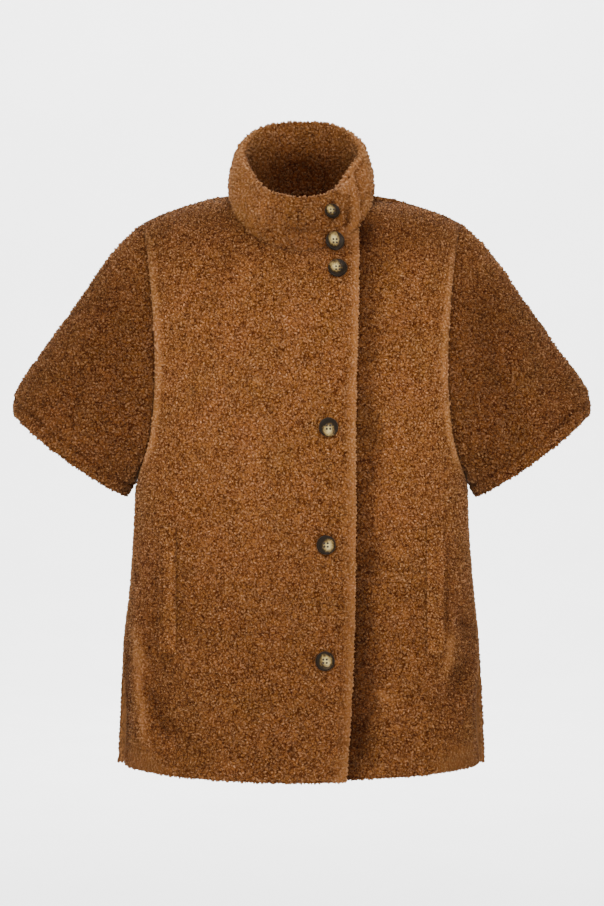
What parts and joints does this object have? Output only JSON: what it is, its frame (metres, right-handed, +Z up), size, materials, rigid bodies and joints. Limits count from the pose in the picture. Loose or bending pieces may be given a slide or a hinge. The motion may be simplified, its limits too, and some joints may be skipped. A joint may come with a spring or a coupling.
{
  "type": "teddy jacket",
  "caption": "Short-sleeved teddy fleece jacket with a funnel collar, an off-centre button front, welt pockets and side slits, filled out as if worn.",
  "frame": {"origin": "in the middle of the neck, 10 mm below the two points where the shoulder seams meet the collar, level with where the wearer's shoulders hold the jacket", "axes": "+Z up, -Y the way the wearer faces, +X to the wearer's left"},
  "size_m": [0.7882, 0.2546, 0.889],
  "materials": {
    "teddy_cloth": "caramel brown curly pile fleece, matt",
    "horn_button": "dark horn look, satin, mottled with cream"
  },
  "bodies": {
    "root": {"back": "teddy_cloth", "front_right": "teddy_cloth", "front_left": "teddy_cloth", "sleeve_right": "teddy_cloth", "sleeve_left": "teddy_cloth", "collar": "teddy_cloth", "pocket_right": "teddy_cloth", "pocket_left": "teddy_cloth", "button_1": "horn_button", "button_2": "horn_button", "button_3": "horn_button", "button_4": "horn_button", "button_5": "horn_button", "button_6": "horn_button"}
  },
  "joints": []
}
